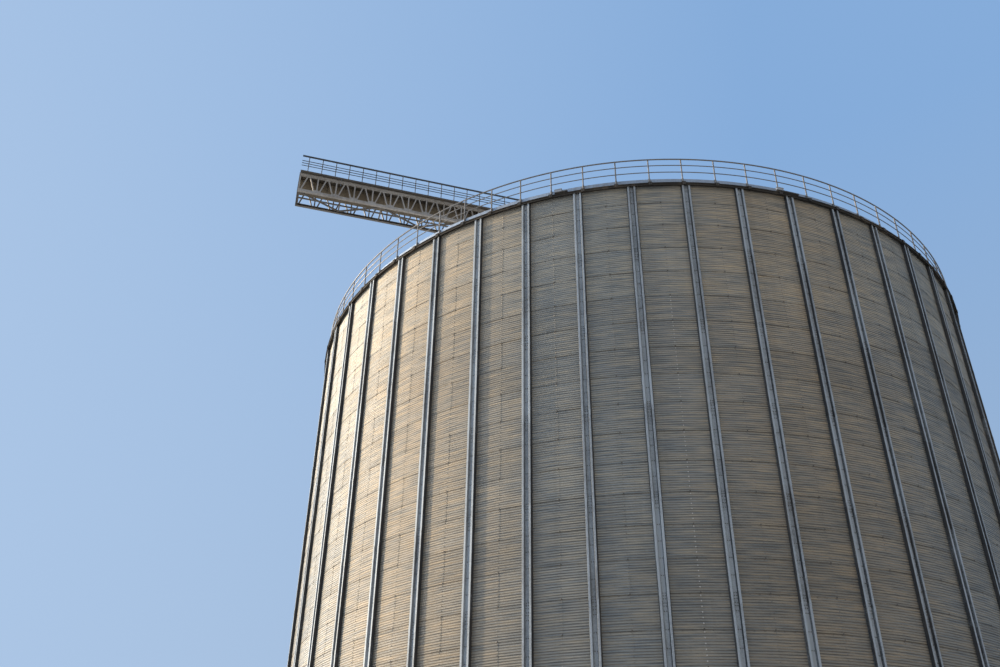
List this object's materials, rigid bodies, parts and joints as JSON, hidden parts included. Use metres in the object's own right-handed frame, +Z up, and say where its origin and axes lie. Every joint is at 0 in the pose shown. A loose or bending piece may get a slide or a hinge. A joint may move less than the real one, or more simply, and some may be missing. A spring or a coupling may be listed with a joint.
{
  "type": "grain silo",
  "caption": "Round corrugated steel grain silo with ridged uprights, a ribbed cone roof, a railed eave and a lattice conveyor gallery that feeds the peak.",
  "frame": {"origin": "on the silo's axis at ground level, on the underside of the floor slab", "axes": "+Z up along the silo's axis; the conveyor gallery runs out along -X; +Y is square to both"},
  "size_m": [26.9803, 25.12, 32.2566],
  "materials": {
    "concrete": "cast concrete, weathered",
    "wall_sheet": "corrugated galvanised sheet, dull",
    "stiffener_steel": "galvanised, satin",
    "roof_sheet": "galvanised sheet, satin",
    "railing_steel": "galvanised tube, dull",
    "gallery_steel": "galvanised sections, dull",
    "deck_steel": "dark steel plate",
    "conveyor_steel": "folded galvanised sheet"
  },
  "bodies": {
    "root": {"foundation_ring": "concrete", "floor_slab": "concrete", "wall_1": "wall_sheet", "wall_2": "wall_sheet", "wall_3": "wall_sheet", "wall_4": "wall_sheet", "wall_5": "wall_sheet", "wall_6": "wall_sheet", "stiffeners_1": "stiffener_steel", "stiffeners_2": "stiffener_steel", "stiffeners_3": "stiffener_steel", "stiffeners_4": "stiffener_steel", "stiffeners_5": "stiffener_steel", "stiffeners_6": "stiffener_steel", "roof_1": "roof_sheet", "roof_2": "roof_sheet", "roof_3": "roof_sheet", "roof_4": "roof_sheet", "roof_5": "roof_sheet", "roof_6": "roof_sheet", "peak_collar": "roof_sheet", "peak_lid": "roof_sheet", "railing_1": "railing_steel", "railing_2": "railing_steel", "railing_3": "railing_steel", "railing_4": "railing_steel", "railing_5": "railing_steel", "railing_6": "railing_steel", "railing_7": "railing_steel", "gallery_railing_near": "railing_steel", "gallery_railing_far": "railing_steel", "landing_railing": "railing_steel", "wall_ladder": "railing_steel", "roof_ladder": "railing_steel", "gallery_truss_near": "gallery_steel", "gallery_truss_far": "gallery_steel", "gallery_bracing": "gallery_steel", "gallery_end_frame": "gallery_steel", "peak_frame": "gallery_steel", "gallery_deck": "deck_steel", "peak_landing": "deck_steel", "conveyor_trough": "conveyor_steel", "conveyor_head": "conveyor_steel", "feed_spout": "conveyor_steel", "door_frame": "conveyor_steel", "wall_door": "conveyor_steel"}
  },
  "joints": []
}
